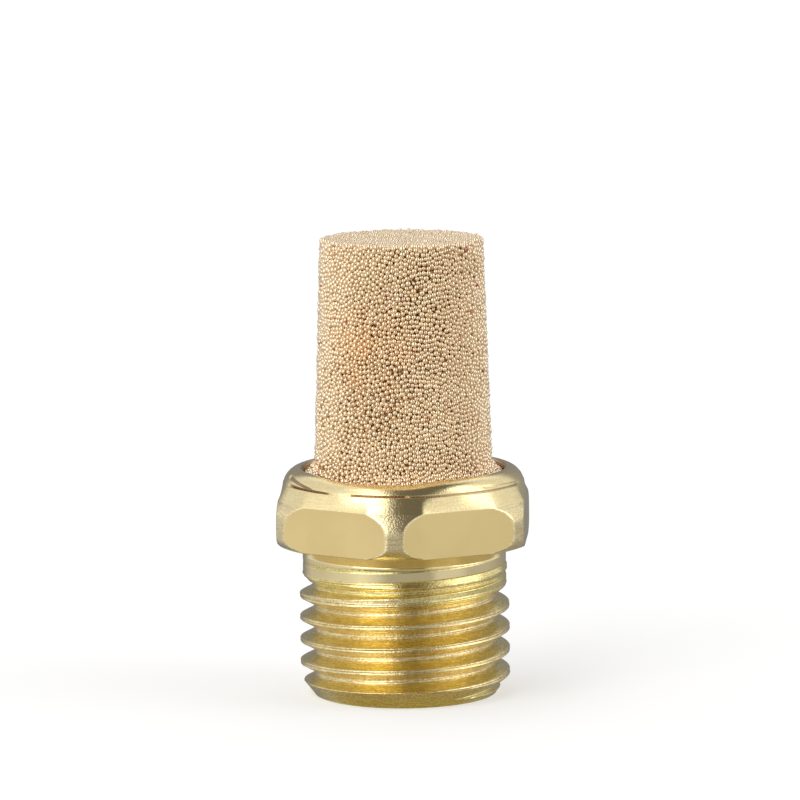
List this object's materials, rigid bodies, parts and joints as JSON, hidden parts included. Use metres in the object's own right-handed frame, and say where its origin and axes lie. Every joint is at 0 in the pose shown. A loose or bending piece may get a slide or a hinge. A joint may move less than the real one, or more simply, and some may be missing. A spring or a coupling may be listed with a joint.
{
  "type": "pneumatic muffler",
  "caption": "Pneumatic exhaust muffler: a tapered cup of sintered bronze beads held by the rolled lip of a brass hexagon body with a male pipe thread.",
  "frame": {"origin": "centre of the thread's end face, the lowest face of the part", "axes": "+Z along the thread axis towards the closed end of the sintered cup; +X through the middle of a wrench flat"},
  "size_m": [0.0146, 0.0164, 0.0273],
  "materials": {
    "brass": "polished, with turned and rolled marks",
    "sintered_bronze": "small fused beads, unpolished"
  },
  "bodies": {
    "root": {"threaded_hex_body": "brass", "sintered_element": "sintered_bronze"}
  },
  "joints": []
}
